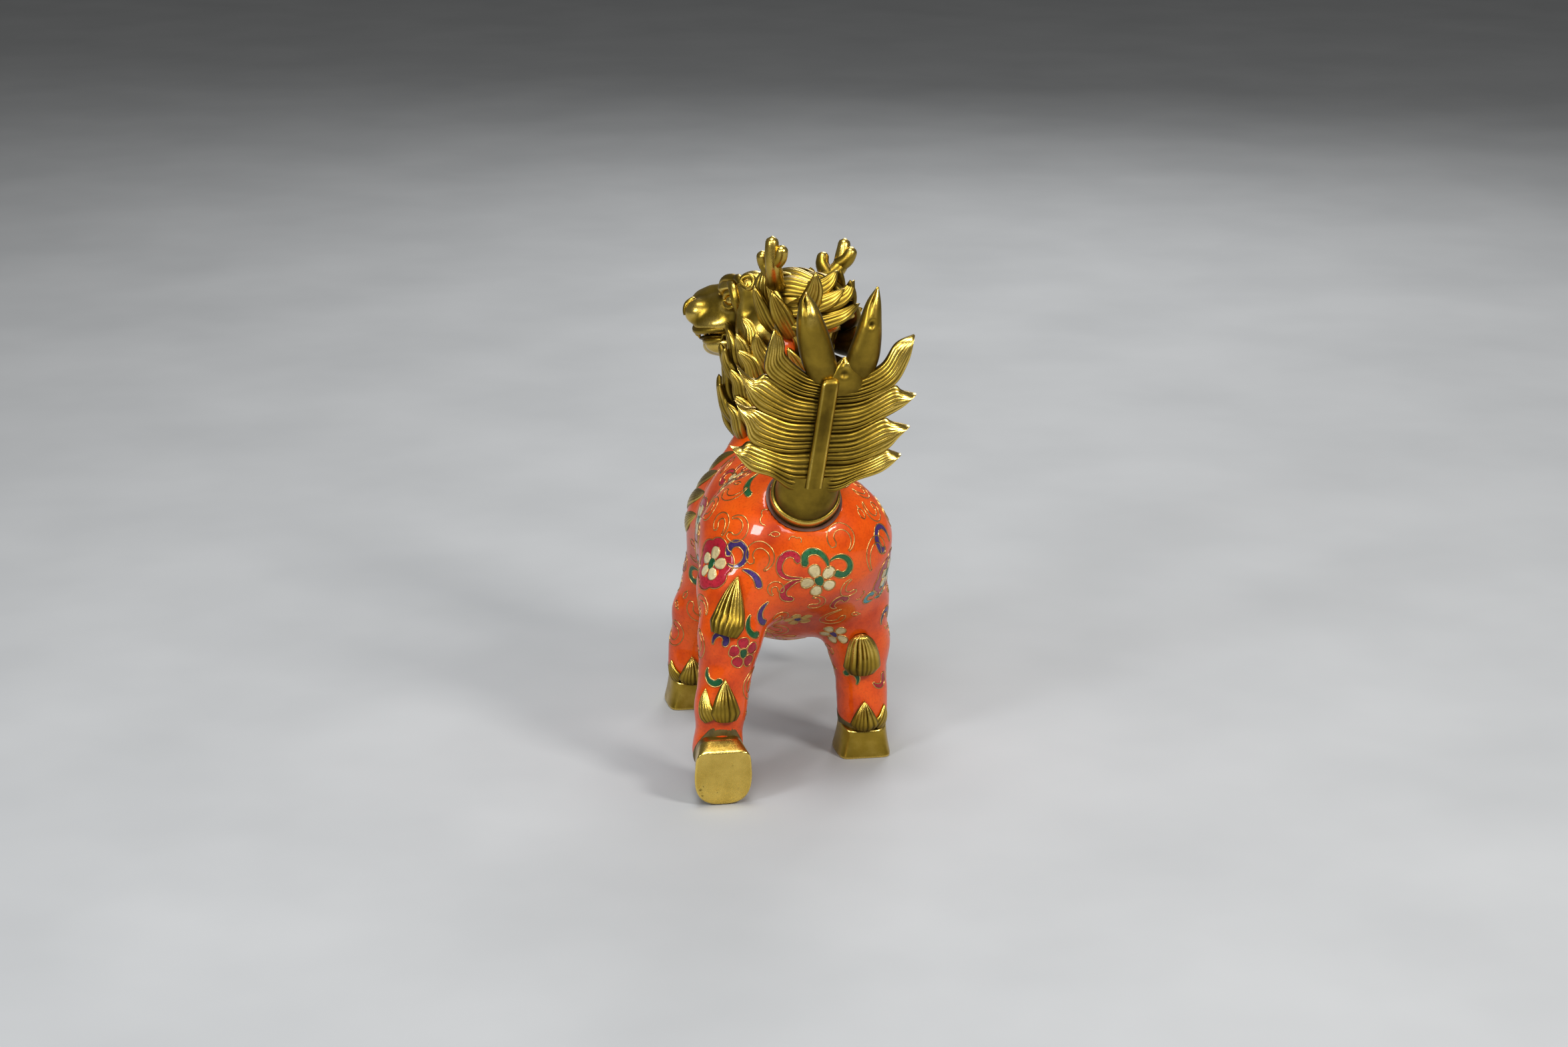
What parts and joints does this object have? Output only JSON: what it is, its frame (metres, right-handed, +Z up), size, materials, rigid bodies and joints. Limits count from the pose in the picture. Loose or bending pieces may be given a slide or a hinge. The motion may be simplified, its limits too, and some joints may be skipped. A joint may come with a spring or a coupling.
{
  "type": "qilin figure",
  "caption": "Cloisonné enamel qilin figure in a trot, with gilt head turned aside, antlers, flame mane, plume tail, hooves and tufts.",
  "frame": {"origin": "on the ground, under the middle of the figure's box", "axes": "+Z up; the animal's body faces -Y, its left side is +X, and its head is turned to its left"},
  "size_m": [0.0954, 0.1648, 0.2112],
  "materials": {
    "enamel": "glossy cloisonné enamel",
    "gilt": "antique gilt casting"
  },
  "bodies": {
    "root": {"body": "enamel", "head": "gilt", "tail_plume": "gilt", "hoof_front_left": "gilt", "hoof_front_right": "gilt", "hoof_hind_left": "gilt", "hoof_hind_right": "gilt", "hock_tuft_left": "gilt", "hock_tuft_right": "gilt", "fetlock_tuft_front_left": "gilt", "fetlock_tuft_front_right": "gilt", "fetlock_tuft_hind_left": "gilt", "fetlock_tuft_hind_right": "gilt", "shoulder_flame_left": "gilt", "shoulder_flame_right": "gilt"}
  },
  "joints": []
}
